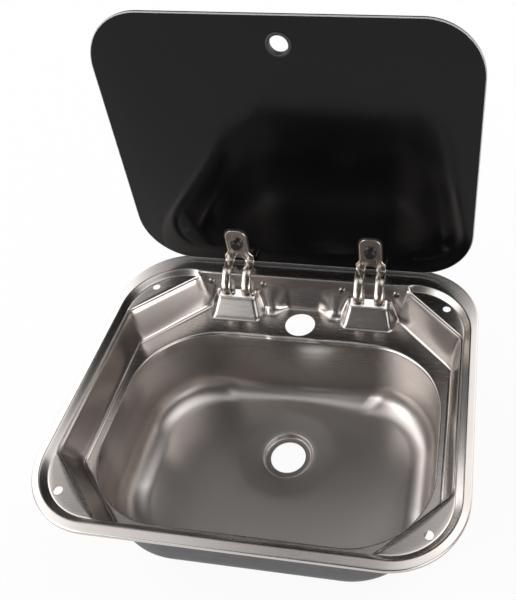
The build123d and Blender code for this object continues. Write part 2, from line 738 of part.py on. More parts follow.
    with BuildPart() as nuts:
        with BuildSketch(wall_front.offset(-wall_skin - bracket_sheet)):
            with Locations((where - hinge_screw_offset, 0), (where + hinge_screw_offset, 0)):
                RegularPolygon(hinge_nut_half, 6, major_radius=False)
                Circle(hinge_screw_radius + nut_clear, mode=Mode.SUBTRACT)
        extrude(amount=-hinge_nut_height)
    nuts.part.label = f"hinge_nuts_{side}"
    export_step(nuts.part, f"parts/hinge_nuts_{side}.step")
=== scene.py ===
# %% [markdown]
# # A caravan sink with a folding glass lid
#
# The sink is one pressed sheet of stainless steel: a raised rim, four sunken corner flats, an
# eight-sided recess, a ledge and a deep bowl. A black glass lid stands open on two strap hinges.
# The CAD frame already holds every piece in its place. This notebook gives the pieces their
# soft pressed and polished forms, their finishes, and the light of a plain white studio.

# %% Load the frame
import math

import bmesh
import bpy
import numpy as np
from mathutils import Matrix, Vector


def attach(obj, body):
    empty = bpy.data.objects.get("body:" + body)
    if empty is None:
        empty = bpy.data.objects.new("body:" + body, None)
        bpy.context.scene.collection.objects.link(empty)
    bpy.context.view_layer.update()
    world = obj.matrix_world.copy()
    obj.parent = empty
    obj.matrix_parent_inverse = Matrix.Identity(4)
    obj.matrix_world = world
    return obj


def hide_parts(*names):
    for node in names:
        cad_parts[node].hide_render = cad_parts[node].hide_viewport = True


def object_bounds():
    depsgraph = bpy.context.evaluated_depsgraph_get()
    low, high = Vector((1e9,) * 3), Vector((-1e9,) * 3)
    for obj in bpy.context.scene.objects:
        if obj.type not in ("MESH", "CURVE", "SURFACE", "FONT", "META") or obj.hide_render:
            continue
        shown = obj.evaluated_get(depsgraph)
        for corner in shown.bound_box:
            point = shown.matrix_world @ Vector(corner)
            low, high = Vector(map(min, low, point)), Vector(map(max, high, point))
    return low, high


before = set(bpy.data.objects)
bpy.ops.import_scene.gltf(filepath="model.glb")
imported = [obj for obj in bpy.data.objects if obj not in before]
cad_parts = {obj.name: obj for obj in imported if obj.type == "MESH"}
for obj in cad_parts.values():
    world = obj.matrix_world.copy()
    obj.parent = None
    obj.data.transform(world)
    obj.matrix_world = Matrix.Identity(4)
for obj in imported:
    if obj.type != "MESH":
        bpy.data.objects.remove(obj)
cad_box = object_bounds()
MM = 0.001

# %% [markdown]
# ## The camera
#
# The photograph looks down into the sink from the front right. Its place was worked out from
# the rim, the lid and the round holes, whose real shapes are known. The picture's middle is not
# where the lens points, so the camera has a small shift, as a cropped photograph has.

# %% Camera
PHOTO_HEIGHT = 600  # pixels
SENSOR = 36.0  # millimetres, along the picture's longer side
NEAREST_SEEN = 0.01  # metres
FOCAL_PIXELS = 741.5
EYE_MM = (182.8, -452.6, 618.8)
TILT_DEGREES = (47.404, 2.730, 8.695)
AXIS_RIGHT_PIXELS = 92.5  # where the lens points, from the picture's middle
AXIS_UP_PIXELS = 40.5

camera_data = bpy.data.cameras.new("photo_camera")
camera = bpy.data.objects.new("photo_camera", camera_data)
bpy.context.scene.collection.objects.link(camera)
camera_data.sensor_width = SENSOR
camera_data.lens = FOCAL_PIXELS / PHOTO_HEIGHT * SENSOR
camera_data.shift_x = -AXIS_RIGHT_PIXELS / PHOTO_HEIGHT
camera_data.shift_y = -AXIS_UP_PIXELS / PHOTO_HEIGHT
camera_data.clip_start = NEAREST_SEEN
camera.location = [v * MM for v in EYE_MM]
camera.rotation_euler = [math.radians(v) for v in TILT_DEGREES]
bpy.context.scene.camera = camera
print("lens", round(camera_data.lens, 2), "shift", camera_data.shift_x, camera_data.shift_y)

# %% [markdown]
# ## Helpers for meshes
#
# Every new piece is a grid of points worked out by numpy. `put_mesh` turns points and faces
# into an object that rides on a body and hides the CAD node whose place it takes. The columns of
# a grid close into a ring, and the rows of a turned piece close too.

# %% Mesh helpers
def put_mesh(name, points, faces, body, node=None, materials=(), face_material=None):
    """Makes a mesh object from metre points, lets it ride on a body and hides the CAD node whose
    place it takes.
    """
    mesh = bpy.data.meshes.new(name)
    mesh.from_pydata(points, [], faces)
    for material in materials:
        mesh.materials.append(material)
    if face_material is not None:
        mesh.polygons.foreach_set("material_index", face_material)
    mesh.polygons.foreach_set("use_smooth", np.ones(len(mesh.polygons), bool))
    mesh.validate()
    work = bmesh.new()
    work.from_mesh(mesh)
    if work.calc_volume(signed=True) < 0:
        bmesh.ops.reverse_faces(work, faces=work.faces)
        work.to_mesh(mesh)
    work.free()
    mesh.update()
    piece = bpy.data.objects.new(name, mesh)
    bpy.context.scene.collection.objects.link(piece)
    if body:
        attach(piece, body)
    if node:
        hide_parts(node)
    return piece


def grid_faces(rows, columns, start=0, wrap_rows=False, flip=False):
    """Four-sided faces between the points of a grid whose columns close into a ring."""
    last_row = rows if wrap_rows else rows - 1
    r, c = np.meshgrid(np.arange(last_row), np.arange(columns), indexing="ij")
    r2, c2 = (r + 1) % rows, (c + 1) % columns
    corners = np.stack([r * columns + c, r * columns + c2, r2 * columns + c2, r2 * columns + c], -1)
    corners = corners.reshape(-1, 4) + start
    return corners[:, ::-1] if flip else corners


def rounded_outline(half_x, half_y, radius, count=4000):
    """Points round a rectangle with round corners: each corner is a quarter circle about its
    own centre, and straight sides join the quarters."""
    sides = []
    per_corner = count // 4
    for quarter, (sx, sy) in enumerate(((1, 1), (-1, 1), (-1, -1), (1, -1))):
        angle = np.linspace(0, math.pi / 2, per_corner) + quarter * math.pi / 2
        sides.append(np.stack([sx * (half_x - radius) + radius * np.cos(angle),
                               sy * (half_y - radius) + radius * np.sin(angle)], -1))
    return np.concatenate(sides)


print("helpers ready")

# %% [markdown]
# ## Finishes
#
# Each finish is a small tree of nodes on the object's own coordinates, in metres. The steel of
# the sheet is satin: fine rolling marks run left to right, the tone drifts a little over the
# sheet, and soft dents of a few centimetres bend its reflections. The same recipe, with other
# numbers, serves the hinge strip, the screws and the hidden zinc parts.

# %% Material helpers
def shader_tree(name):
    """A new material with its node tree, its surface shader and a node of object coordinates."""
    material = bpy.data.materials.new(name)
    material.use_nodes = True
    tree = material.node_tree
    place = tree.nodes.new("ShaderNodeTexCoord")
    return material, tree, tree.nodes["Principled BSDF"], place.outputs["Object"]


def stretched(tree, place, scale):
    """Coordinates stretched by a scale for each axis, so that a texture runs one way."""
    mapping = tree.nodes.new("ShaderNodeMapping")
    mapping.inputs["Scale"].default_value = scale
    tree.links.new(place, mapping.inputs["Vector"])
    return mapping.outputs["Vector"]


def noise(tree, place, scale, detail=3.0, roughness=0.5):
    """A cloudy texture, as a number for each place."""
    texture = tree.nodes.new("ShaderNodeTexNoise")
    texture.inputs["Scale"].default_value = scale
    texture.inputs["Detail"].default_value = detail
    texture.inputs["Roughness"].default_value = roughness
    tree.links.new(place, texture.inputs["Vector"])
    return texture.outputs["Fac"]


def spread(tree, value, low, high, from_low=0.3, from_high=0.7):
    """A number that follows a texture between two limits."""
    span = tree.nodes.new("ShaderNodeMapRange")
    span.inputs["From Min"].default_value = from_low
    span.inputs["From Max"].default_value = from_high
    span.inputs["To Min"].default_value = low
    span.inputs["To Max"].default_value = high
    tree.links.new(value, span.inputs["Value"])
    return span.outputs["Result"]


def blend_colours(tree, factor, first, second):
    """A colour that goes from the first to the second while a number goes from 0 to 1."""
    mix = tree.nodes.new("ShaderNodeMix")
    mix.data_type = "RGBA"
    mix.inputs[6].default_value = (*first, 1)
    mix.inputs[7].default_value = (*second, 1)
    tree.links.new(factor, mix.inputs["Factor"])
    return mix.outputs[2]


def bump(tree, height, distance, under=None):
    """Lets a texture raise the surface by a distance in metres."""
    node = tree.nodes.new("ShaderNodeBump")
    node.inputs["Distance"].default_value = distance
    tree.links.new(height, node.inputs["Height"])
    if under is not None:
        tree.links.new(under, node.inputs["Normal"])
    return node.outputs["Normal"]


def combined(tree, operation, first, second):
    """One number worked out from two others, each of which is a socket or a plain number."""
    node = tree.nodes.new("ShaderNodeMath")
    node.operation = operation
    for socket, value in zip(node.inputs, (first, second)):
        if isinstance(value, float):
            socket.default_value = value
        else:
            tree.links.new(value, socket)
    return node.outputs[0]


DRAWN_HEIGHTS = -0.10, -0.05  # metres: fully dulled by drawing, and not yet


def metal(name, light, dark, rough_low, rough_high, grain, grain_height, wave_height=0.0,
          wave_scale=9.0, drawn=0.0):
    """Rolled or turned metal: a drifting tone, streaks along the grain and soft waves. Drawing
    a deep form stretches the skin and makes it duller, by the amount drawn, from the ledge down."""
    material, tree, shader, place = shader_tree(name)
    streaks = noise(tree, stretched(tree, place, grain), 1.0, 4.0, 0.6)
    drift = noise(tree, place, wave_scale, 2.0)
    tone = blend_colours(tree, spread(tree, drift, 0, 1), light, dark)
    tree.links.new(tone, shader.inputs["Base Color"])
    rough = spread(tree, streaks, rough_low, rough_high)
    if drawn:
        height = tree.nodes.new("ShaderNodeSeparateXYZ")
        tree.links.new(place, height.inputs[0])
        duller = spread(tree, height.outputs["Z"], drawn, 0.0, *DRAWN_HEIGHTS)
        rough = combined(tree, "ADD", rough, duller)
    tree.links.new(rough, shader.inputs["Roughness"])
    normal = bump(tree, streaks, grain_height)
    if wave_height:
        normal = bump(tree, drift, wave_height, under=normal)
    tree.links.new(normal, shader.inputs["Normal"])
    shader.inputs["Metallic"].default_value = 1.0
    return material


def moulded(name, colour, roughness, grain, height, cloud_scale=60.0, drift=0.25, uneven=0.06):
    """Rubber, plastic or paint: an even colour with a fine moulded grain."""
    material, tree, shader, place = shader_tree(name)
    speckle = noise(tree, place, grain, 3.0, 0.6)
    cloud = noise(tree, place, cloud_scale, 2.0)
    lighter = tuple(c * (1 + drift) for c in colour)
    tree.links.new(blend_colours(tree, spread(tree, cloud, 0, 1), colour, lighter),
                   shader.inputs["Base Color"])
    tree.links.new(spread(tree, speckle, roughness - uneven, roughness + uneven),
                   shader.inputs["Roughness"])
    tree.links.new(bump(tree, speckle, height), shader.inputs["Normal"])
    return material


stainless = metal("satin_sheet", light=(0.565, 0.526, 0.502), dark=(0.525, 0.489, 0.467),
                  rough_low=0.21, rough_high=0.28, grain=(60, 2600, 2600),
                  grain_height=0.0000004, wave_height=0.00030, wave_scale=8.0, drawn=0.07)
# painted shade: the under side's colour is far darker than steel, standing in for the shade on the
# bowl's outside; its roughness is the rough mill skin
underside_painted_shade = metal("rough_mill_with_painted_shade", light=(0.125, 0.125, 0.13), dark=(0.095, 0.095, 0.10),
                  rough_low=0.40, rough_high=0.60, grain=(60, 900, 900),
                  grain_height=0.000004, wave_height=0.0003)
arm_steel = metal("hinge_strip", light=(0.57, 0.525, 0.48), dark=(0.49, 0.445, 0.40),
                  rough_low=0.16, rough_high=0.30, grain=(400, 90, 90),
                  grain_height=0.000006, wave_height=0.00002, wave_scale=160.0)
screw_steel = metal("turned_steel", light=(0.36, 0.34, 0.32), dark=(0.28, 0.265, 0.25),
                    rough_low=0.10, rough_high=0.22, grain=(300, 300, 300),
                    grain_height=0.000005)
zinc = metal("zinc_coat", light=(0.55, 0.55, 0.54), dark=(0.44, 0.45, 0.46),
             rough_low=0.32, rough_high=0.48, grain=(120, 120, 120), grain_height=0.000010)
rubber = moulded("soft_black", (0.012, 0.012, 0.0125), roughness=0.55, grain=1800.0,
                 height=0.00001)
plastic = moulded("hard_black", (0.010, 0.010, 0.0105), roughness=0.24, grain=1500.0,
                  height=0.000006)
paint = moulded("painted_black", (0.014, 0.014, 0.015), roughness=0.32, grain=900.0,
                height=0.000006)

PRINT_DARK, PRINT_LIGHT = (0.0010, 0.0010, 0.0012), (0.0016, 0.0016, 0.0018)
GLASS_GLOSS, GLASS_ROUGH, GLASS_WAVE = 0.21, (0.10, 0.16), 0.00012
black_glass, tree, shader, place = shader_tree("printed_glass")
print_tone = spread(tree, noise(tree, place, 6.0), 0, 1)
tree.links.new(blend_colours(tree, print_tone, PRINT_DARK, PRINT_LIGHT),
               shader.inputs["Base Color"])
shader.inputs["Specular IOR Level"].default_value = GLASS_GLOSS
tree.links.new(spread(tree, noise(tree, place, 25.0), *GLASS_ROUGH), shader.inputs["Roughness"])
tree.links.new(bump(tree, noise(tree, place, 3.0, 1.0), GLASS_WAVE), shader.inputs["Normal"])

EDGE_TONE, EDGE_ROUGH, EDGE_GRAIN = (0.30, 0.32, 0.32, 1), (0.22, 0.36), 0.000006
ground_glass, tree, shader, place = shader_tree("ground_glass")
shader.inputs["Base Color"].default_value = EDGE_TONE
tree.links.new(spread(tree, noise(tree, place, 700.0), *EDGE_ROUGH), shader.inputs["Roughness"])
tree.links.new(bump(tree, noise(tree, place, 1500.0), EDGE_GRAIN), shader.inputs["Normal"])
print("materials:", [m.name for m in bpy.data.materials])

# %% [markdown]
# ## The pressed sheet: outlines
#
# A press draws the whole sink from one flat sheet, so one surface can describe it: from the
# drain outwards, every ray crosses the same bends in the same order. Each bend follows an
# outline that is known from the CAD sizes. The distance from the drain to an outline, for any
# direction, is looked up along a finely drawn copy of that outline.

# %% Sizes of the sheet (millimetres) and its outlines
SHEET = 0.8
RIM_HALF, RIM_CORNER, RIM_MIDDLE_Y = (210.0, 185.0), 76.0, 10.0
CREST_HALF, CREST_CORNER = (202.0, 166.5), 66.0
BAND_RUN = 6.5
RIM_EDGE_HEIGHT, CREST_HEIGHT, FLAT_HEIGHT, LEDGE_HEIGHT = 3.8, 6.0, 0.8, -41.0
RECESS_TOP = dict(side=194.2, rear=162.4, front=160.6, slant=290.0)
RECESS_BASE = dict(side=184.5, rear=158.5, front=150.0, slant=267.4)
BOWL_HALF, BOWL_CORNER, BOWL_MIDDLE_Y = (175.25, 122.25), 86.0, -15.4
BOWL_DRAFT, BOWL_FLOOR_HEIGHT, BOWL_ROUND = 2.05, -138.8, 32.0
DRAIN_Y, DRAIN_HOLE, DRAIN_RING, DISH = 13.9, 20.6, 29.5, 57.0
DRAIN_RIM_HEIGHT, DRAIN_SEAT_HEIGHT = -141.0, -145.0
HINGE_X = 81.0
STEP_DROP, STEP_WIDE = 1.2, 2.2
GROOVE_DEEP, GROOVE_RUN = 0.5, 1.4


def eight_sides(wall, corner=7.0, steps=60):
    """The recess outline: an eight-sided figure whose corners are rounded by circle arcs."""
    side, rear, front, slant = wall["side"], wall["rear"], wall["front"], wall["slant"]
    corners = np.array([
        (side, slant - side), (slant - rear, rear), (rear - slant, rear), (-side, slant - side),
        (-side, side - slant), (front - slant, -front), (slant - front, -front),
        (side, side - slant)])
    before = np.roll(corners, 1, axis=0) - corners
    after = np.roll(corners, -1, axis=0) - corners
    before /= np.linalg.norm(before, axis=1)[:, None]
    after /= np.linalg.norm(after, axis=1)[:, None]
    half = np.arccos(np.clip((before * after).sum(1), -1, 1)) / 2
    inward = before + after
    inward /= np.linalg.norm(inward, axis=1)[:, None]
    centres = corners + inward * (corner / np.sin(half))[:, None]
    start = corners + before * (corner / np.tan(half))[:, None]
    end = corners + after * (corner / np.tan(half))[:, None]
    share = np.linspace(0, 1, steps)[None, :, None]
    chord = start[:, None] * (1 - share) + end[:, None] * share - centres[:, None]
    arc = centres[:, None] + corner * chord / np.linalg.norm(chord, axis=2, keepdims=True)
    return arc.reshape(-1, 2)


FINE_POINTS, LOOK_ASIDE = 24001, 0.004  # points along an outline; radians


def reach(outline, angles):
    """Distance from the drain to an outline in each direction, with the slant of the outline
    there: one over the cosine between the ray and the outline's normal."""
    closed = np.concatenate([outline, outline[:1]])
    length = np.concatenate([[0], np.cumsum(np.linalg.norm(np.diff(closed, axis=0), axis=1))])
    fine = np.linspace(0, length[-1], FINE_POINTS)[:-1]
    x = np.interp(fine, length, closed[:, 0])
    y = np.interp(fine, length, closed[:, 1]) - DRAIN_Y
    around = np.unwrap(np.arctan2(y, x))
    distance = np.hypot(x, y)
    order = np.argsort(np.mod(around, 2 * math.pi))
    around, distance = np.mod(around, 2 * math.pi)[order], distance[order]
    rho = np.interp(np.mod(angles, 2 * math.pi), around, distance, period=2 * math.pi)
    ahead, behind = [np.interp(np.mod(angles + aside, 2 * math.pi), around, distance,
                               period=2 * math.pi) for aside in (LOOK_ASIDE, -LOOK_ASIDE)]
    slope = (ahead - behind) / (2 * LOOK_ASIDE) / rho
    return rho, np.sqrt(1 + slope ** 2)


def moved(outline, dy):
    """An outline moved to the rear."""
    return outline + np.array([0.0, dy])


COLUMNS = 366
GUIDE_CORNER, GUIDE_POINTS = 30.0, 20001
POCKET_EXTRA = 2.6  # added weight where the pockets are
POCKET_REGION_Y, POCKET_REGION_X = 128.0, 128.0
REGION_SOFT_Y, REGION_SOFT_X = 6.0, 5.0
# the directions are spread by length round the ledge, and more of them go to the pockets
guide = eight_sides(RECESS_BASE, corner=GUIDE_CORNER)
guide = np.concatenate([guide, guide[:1]])
along = np.concatenate([[0], np.cumsum(np.linalg.norm(np.diff(guide, axis=0), axis=1))])
fine = np.linspace(0, along[-1], GUIDE_POINTS)
guide_x, guide_y = np.interp(fine, along, guide[:, 0]), np.interp(fine, along, guide[:, 1])
weight = 1.0 + POCKET_EXTRA / (1 + np.exp(-(guide_y - POCKET_REGION_Y) / REGION_SOFT_Y)) / (
    1 + np.exp((np.abs(guide_x) - POCKET_REGION_X) / REGION_SOFT_X))
weighed = np.concatenate([[0], np.cumsum((weight[1:] + weight[:-1]) / 2)])
at = np.interp(np.linspace(0, weighed[-1], COLUMNS + 1)[:-1], weighed, fine)
directions = np.arctan2(np.interp(at, fine, guide_y) - DRAIN_Y, np.interp(at, fine, guide_x))
directions = np.sort(np.mod(directions, 2 * math.pi))
print("columns:", len(directions))

# %% [markdown]
# ## The pressed sheet: pockets and swellings
#
# Behind the ledge the sheet swells up into two pockets for the hinges and two soft folds beside
# the tap hole. Seen from above they are hills on the ledge, so a height for each place is
# enough. Each hill is the lowest of its sloping sides, and the ledge and the hills meet in the
# highest of them. A smooth maximum and minimum leave the round bends of a real pressing.

# %% Heights of the ledge
def smooth_max(a, b, blend):
    """The larger of two heights, with a round bend of about the blend's size where they meet."""
    h = np.clip(0.5 + 0.5 * (a - b) / blend, 0, 1)
    return b + (a - b) * h + blend * h * (1 - h)


def smooth_min(a, b, blend):
    """The smaller of two heights, with a round bend where they meet."""
    return -smooth_max(-a, -b, blend)


POCKET_FRONT, POCKET_DEEP, POCKET_TOP = 132.0, 16.0, -19.5
POCKET_HALF, POCKET_NARROWS, POCKET_FLANK = 28.75, 6.15, 0.33
APRON_ROUND, ROOF_ROUND, LEDGE_ROUND = 7.0, 2.4, 3.6
SWELL_DEEP, SWELL_TOP = 10.5, -8.0
SWELL_BEGINS, SWELL_ENDS = (17, 38), (41, 60)


def ledge_height(x, y):
    """Height of the ledge with its two pockets."""
    rise = POCKET_TOP - LEDGE_HEIGHT
    apron = LEDGE_HEIGHT + (y - POCKET_FRONT) * rise / POCKET_DEEP
    across = np.abs(np.abs(x) - HINGE_X)
    share = POCKET_HALF + POCKET_FLANK * (y - POCKET_FRONT) - across
    flank = LEDGE_HEIGHT + rise * share / (POCKET_NARROWS + POCKET_FLANK * POCKET_DEEP)
    pocket = smooth_min(smooth_min(apron, flank, APRON_ROUND), POCKET_TOP + 0 * x, ROOF_ROUND)
    return smooth_max(pocket, LEDGE_HEIGHT + 0 * x, LEDGE_ROUND)


def soft_step(value, low, high):
    """Goes from 0 to 1 between two values, level at both ends: three squares less two cubes."""
    share = np.clip((value - low) / (high - low), 0, 1)
    return share * share * (3 - 2 * share)


def swelling(x):
    """How far the rear wall's foot swells forward, between the tap hole and each pocket."""
    away = np.abs(x)
    return SWELL_DEEP * soft_step(away, *SWELL_BEGINS) * (1 - soft_step(away, *SWELL_ENDS))


print("pocket roof", ledge_height(np.array([HINGE_X]), np.array([POCKET_FRONT + 23.0])))

# %% [markdown]
# ## The pressed sheet: bends
#
# Along one ray the sheet is a line with corners, and each corner is rounded by an arc that
# touches both sides. All rays are done at once: a corner is an array with one value for each
# direction.

# %% The section along every ray
LEAST_REACH, MOST_REACH = 0.12, 0.48  # shares of a corner's shorter side that its arc may take
NEARLY_FLAT = 1.56  # half a corner's angle, in radians, that needs no arc


def corner_arc(before, corner, after, radius, stretch, count):
    """Points of the arc that rounds one corner. The ray crosses the bend at a slant, so its
    level distances are divided by stretch before the arc is drawn, and restored after it."""
    scale = np.stack([1 / stretch, np.ones_like(stretch)], -1)
    a, b, c = before * scale, corner * scale, after * scale
    to_a, to_c = a - b, c - b
    long_a, long_c = np.linalg.norm(to_a, axis=1), np.linalg.norm(to_c, axis=1)
    to_a, to_c = to_a / long_a[:, None], to_c / long_c[:, None]
    half = np.arccos(np.clip((to_a * to_c).sum(1), -0.999999, 1)) / 2
    shorter = np.minimum(long_a, long_c)
    reach_back = np.clip(radius / np.tan(half), LEAST_REACH * shorter,
                         MOST_REACH * shorter)
    radius = reach_back * np.tan(half)
    middle = to_a + to_c
    middle /= np.maximum(np.linalg.norm(middle, axis=1), 1e-9)[:, None]
    centre = b + middle * (radius / np.sin(half))[:, None]
    start, end = b + to_a * reach_back[:, None], b + to_c * reach_back[:, None]
    first = np.arctan2(*(start - centre).T[::-1])
    turn = np.arctan2(*(end - centre).T[::-1]) - first
    turn = (turn + math.pi) % (2 * math.pi) - math.pi
    share = np.linspace(0, 1, count)[:, None]
    angle = first[None] + share * turn[None]
    arc = centre[None] + radius[None, :, None] * np.stack([np.cos(angle), np.sin(angle)], -1)
    line = start[None] + (end - start)[None] * share[:, :, None]
    return np.where((half > NEARLY_FLAT)[None, :, None], line, arc) / scale[None]


def level(value):
    """The same value for every direction."""
    return np.full(COLUMNS, float(value))


def box_reach(half, corner, inset=0.0, middle_y=0.0):
    """Reach and slant of a rounded rectangle that is made smaller all round by an inset."""
    outline = rounded_outline(half[0] - inset, half[1] - inset, corner - inset)
    return reach(moved(outline, middle_y), directions)


rim_r, rim_s = box_reach(RIM_HALF, RIM_CORNER, 0.0, RIM_MIDDLE_Y)
crest_r, crest_s = box_reach(CREST_HALF, CREST_CORNER)
band_r, band_s = box_reach(CREST_HALF, CREST_CORNER, BAND_RUN)
wall_r, wall_s = reach(eight_sides(RECESS_TOP), directions)
foot_r, foot_s = reach(eight_sides(RECESS_BASE), directions)
lip_r, lip_s = box_reach(BOWL_HALF, BOWL_CORNER, 0.0, BOWL_MIDDLE_Y)
floor_r, floor_s = box_reach(BOWL_HALF, BOWL_CORNER, BOWL_DRAFT, BOWL_MIDDLE_Y)
ray = np.stack([np.cos(directions), np.sin(directions)], -1)
wall_height = FLAT_HEIGHT - LEDGE_HEIGHT

# the swellings push the wall's foot forward; a few rounds settle where each ray meets them
FACING_REAR, SWELL_REGION, SETTLING = 0.5, 70, 12
plain_foot = foot_r.copy()
behind = (ray[:, 1] > FACING_REAR) & (np.abs(plain_foot * ray[:, 0]) < SWELL_REGION)
for _ in range(SETTLING):
    shifted = RECESS_BASE["rear"] - swelling(foot_r * ray[:, 0]) - DRAIN_Y
    foot_r = np.where(behind, shifted / np.maximum(ray[:, 1], FACING_REAR), foot_r)
swollen = np.clip((plain_foot - foot_r) / SWELL_DEEP, 0, 1)
foot_height = ledge_height(foot_r * ray[:, 0], foot_r * ray[:, 1] + DRAIN_Y)
foot_r = wall_r + (foot_r - wall_r) * (FLAT_HEIGHT - foot_height) / wall_height
wall_slope = (wall_r - plain_foot) / wall_height

# behind and in front, the rim's inner slope runs straight into the wall, above the flats
SHOULDER_POWER, ON_THE_FLAT, CREASE = 5, 0.01, 0.5
short = np.clip((crest_r - wall_r) / (crest_r - band_r), 0, 1)
shoulder = CREST_HEIGHT - (CREST_HEIGHT - FLAT_HEIGHT) * short ** SHOULDER_POWER
above = shoulder - FLAT_HEIGHT
over_wall = wall_r + wall_slope * above + CREASE * np.clip(1 - above, 0, 1)
edge_r = np.where(above < ON_THE_FLAT, np.maximum(band_r, wall_r + CREASE), over_wall)

# a fine groove runs along the foot of the slope where a flat has room for it
GROOVE_ROOM, GROOVE_FADE = 1.5, 3
groove = np.clip((edge_r - wall_r - GROOVE_ROOM) / GROOVE_FADE, 0, 1)
groove_r = edge_r + (wall_r - edge_r) * 0.5 * (1 - groove) - GROOVE_RUN * groove
groove_height = shoulder + (FLAT_HEIGHT - shoulder) * 0.5 * (1 - groove)

# the side and corner walls start with a small step, which fades out towards rear and front
STEP_FADE, TREAD_FALL, PLAIN_DROP = 6, 0.3, 3
wall_y = wall_r * ray[:, 1] + DRAIN_Y
stepped = np.clip((RECESS_TOP["rear"] - wall_y) / STEP_FADE, 0, 1) * np.clip(
    (wall_y + RECESS_TOP["front"]) / STEP_FADE, 0, 1)
step_r = wall_r - wall_slope * STEP_DROP
tread_r = (step_r - STEP_WIDE) * stepped + (wall_r - wall_slope * PLAIN_DROP) * (1 - stepped)
tread_height = FLAT_HEIGHT - (STEP_DROP + TREAD_FALL) * stepped - PLAIN_DROP * (1 - stepped)

# a swelling leaves the wall in a long soft bend
knee = (tread_height - SWELL_TOP) / (tread_height - LEDGE_HEIGHT)
knee_r = tread_r + (plain_foot - tread_r) * knee
slope_round = 1.0 + 1.6 * np.clip(above, 0, 1)
knee_round, foot_round = 3 + 17 * swollen, 4.0 + 9.0 * swollen
DISH_ROUND, DRAIN_STEP = 60.0, 2.8

# each bend: distance, height, radius, slant, points in its arc, points in the run before it
bends = {
    "rim edge": (rim_r, level(RIM_EDGE_HEIGHT), 1.4, rim_s, 4, 2),
    "crest": (crest_r, level(CREST_HEIGHT), 2.6, crest_s, 6, 4),
    "slope foot": (edge_r, shoulder - GROOVE_DEEP * groove, slope_round, band_s, 4, 2),
    "groove": (groove_r, groove_height, 0.6, band_s, 3, 0),
    "wall top": (wall_r, level(FLAT_HEIGHT), 0.9, wall_s, 3, 3),
    "step": (step_r, FLAT_HEIGHT - level(STEP_DROP), 0.5, wall_s, 3, 0),
    "tread": (tread_r, tread_height, 1.0, wall_s, 3, 0),
    "knee": (knee_r, level(SWELL_TOP), knee_round, foot_s, 5, 0),
    "wall foot": (foot_r, foot_height, foot_round, foot_s, 6, 6),
    "bowl lip": (lip_r, level(LEDGE_HEIGHT), 1.5, lip_s, 5, 40),
    "bowl floor": (floor_r, level(BOWL_FLOOR_HEIGHT), BOWL_ROUND, floor_s, 13, 4),
    "dish": (level(DISH), level(BOWL_FLOOR_HEIGHT), DISH_ROUND, level(1), 3, 4),
    "drain ring": (level(DRAIN_RING), level(DRAIN_RIM_HEIGHT), 1.3, level(1), 4, 3),
    "drain seat": (level(DRAIN_RING - DRAIN_STEP), level(DRAIN_SEAT_HEIGHT), 1.3, level(1), 3, 1),
}
path = [np.stack([rim_r, level(0)], -1)]
path += [np.stack([distance, height], -1) for distance, height, *_ in bends.values()]
path.append(np.stack([level(DRAIN_HOLE), level(DRAIN_SEAT_HEIGHT)], -1))
rings, first_ring = [path[0][None]], {}
for i, (bend_name, bend) in enumerate(bends.items(), start=1):
    _, _, radius, stretch, arc_count, run_count = bend
    arc = corner_arc(path[i - 1], path[i], path[i + 1], radius, stretch, arc_count)
    share = np.linspace(0, 1, run_count + 2)[1:-1, None, None]
    run = rings[-1][-1][None] * (1 - share) + arc[0][None] * share
    first_ring[bend_name] = sum(len(r) for r in rings)
    rings += [run, arc]
rings.append(path[-1][None])
section = np.concatenate(rings)

# the ledge's own hills are added between the foot of the wall and the bowl's lip
ledge = section[first_ring["wall foot"]:first_ring["bowl floor"]]
across = np.clip((foot_r - ledge[..., 0]) / (foot_r - lip_r), 0, 1)
straight = foot_height * (1 - across) + LEDGE_HEIGHT * across
x = ledge[..., 0] * ray[None, :, 0]
y = ledge[..., 0] * ray[None, :, 1] + DRAIN_Y
inside = ledge[..., 0] < foot_r[None]
ledge[..., 1] += np.where(inside, ledge_height(x, y) - straight, 0.0)
print("rings:", len(section), "columns:", COLUMNS)

# %% [markdown]
# ## The pressed sheet: thickness
#
# The under side is the upper side, moved along its normals by the sheet's thickness. Two strips
# of faces join them, round the rim's edge and round the drain. The upper side has the satin
# finish. The under side is rough mill skin, and its colour is painted far darker than steel as
# shade.

# %% Thickness of the sheet
top = np.stack([section[..., 0] * ray[None, :, 0], section[..., 0] * ray[None, :, 1] + DRAIN_Y,
                section[..., 1]], -1)


def grid_normals(points):
    """Upward normals of a grid that closes round its columns: the cross product of the steps
    to the neighbours on both sides."""
    along = np.roll(points, -1, axis=1) - np.roll(points, 1, axis=1)
    down = np.empty_like(points)
    down[1:-1] = points[2:] - points[:-2]
    down[0], down[-1] = points[1] - points[0], points[-1] - points[-2]
    normal = np.cross(along, down)
    return normal / np.maximum(np.linalg.norm(normal, axis=2, keepdims=True), 1e-9)


normals = grid_normals(top)
normals[0] = np.stack([ray[:, 0], ray[:, 1], 0 * ray[:, 0]], -1)
under = top - SHEET * normals
rows = len(top)
points = np.concatenate([top.reshape(-1, 3), under.reshape(-1, 3)]) * MM
faces = [grid_faces(rows, COLUMNS), grid_faces(rows, COLUMNS, start=rows * COLUMNS, flip=True)]
edge = np.arange(COLUMNS)
following = (edge + 1) % COLUMNS
low = rows * COLUMNS
faces.append(np.stack([edge, edge + low, following + low, following], -1))
inner = edge + (rows - 1) * COLUMNS
inner_next = following + (rows - 1) * COLUMNS
faces.append(np.stack([inner, inner_next, inner_next + low, inner + low], -1))
finish = np.concatenate([np.full(len(f), n) for f, n in zip(faces, (0, 1, 0, 0))])
faces = np.concatenate(faces)
print("sheet points", len(points), "faces", len(faces))
sink = put_mesh("sink_sheet", points, faces, "sink", "sink_bowl",
                [stainless, underside_painted_shade], finish)

# %% [markdown]
# ## Cutting holes
#
# The press makes the form, and a punch makes the holes. Here a punch is a closed form that a
# boolean takes away. The tap hole and the drain are round, each corner flat has a screw hole,
# and each pocket has a slot for the two legs of its hinge arm.

# %% Punches
UPRIGHT, FRONT_TO_REAR = (0, 0, 1), (0, 1, 0)


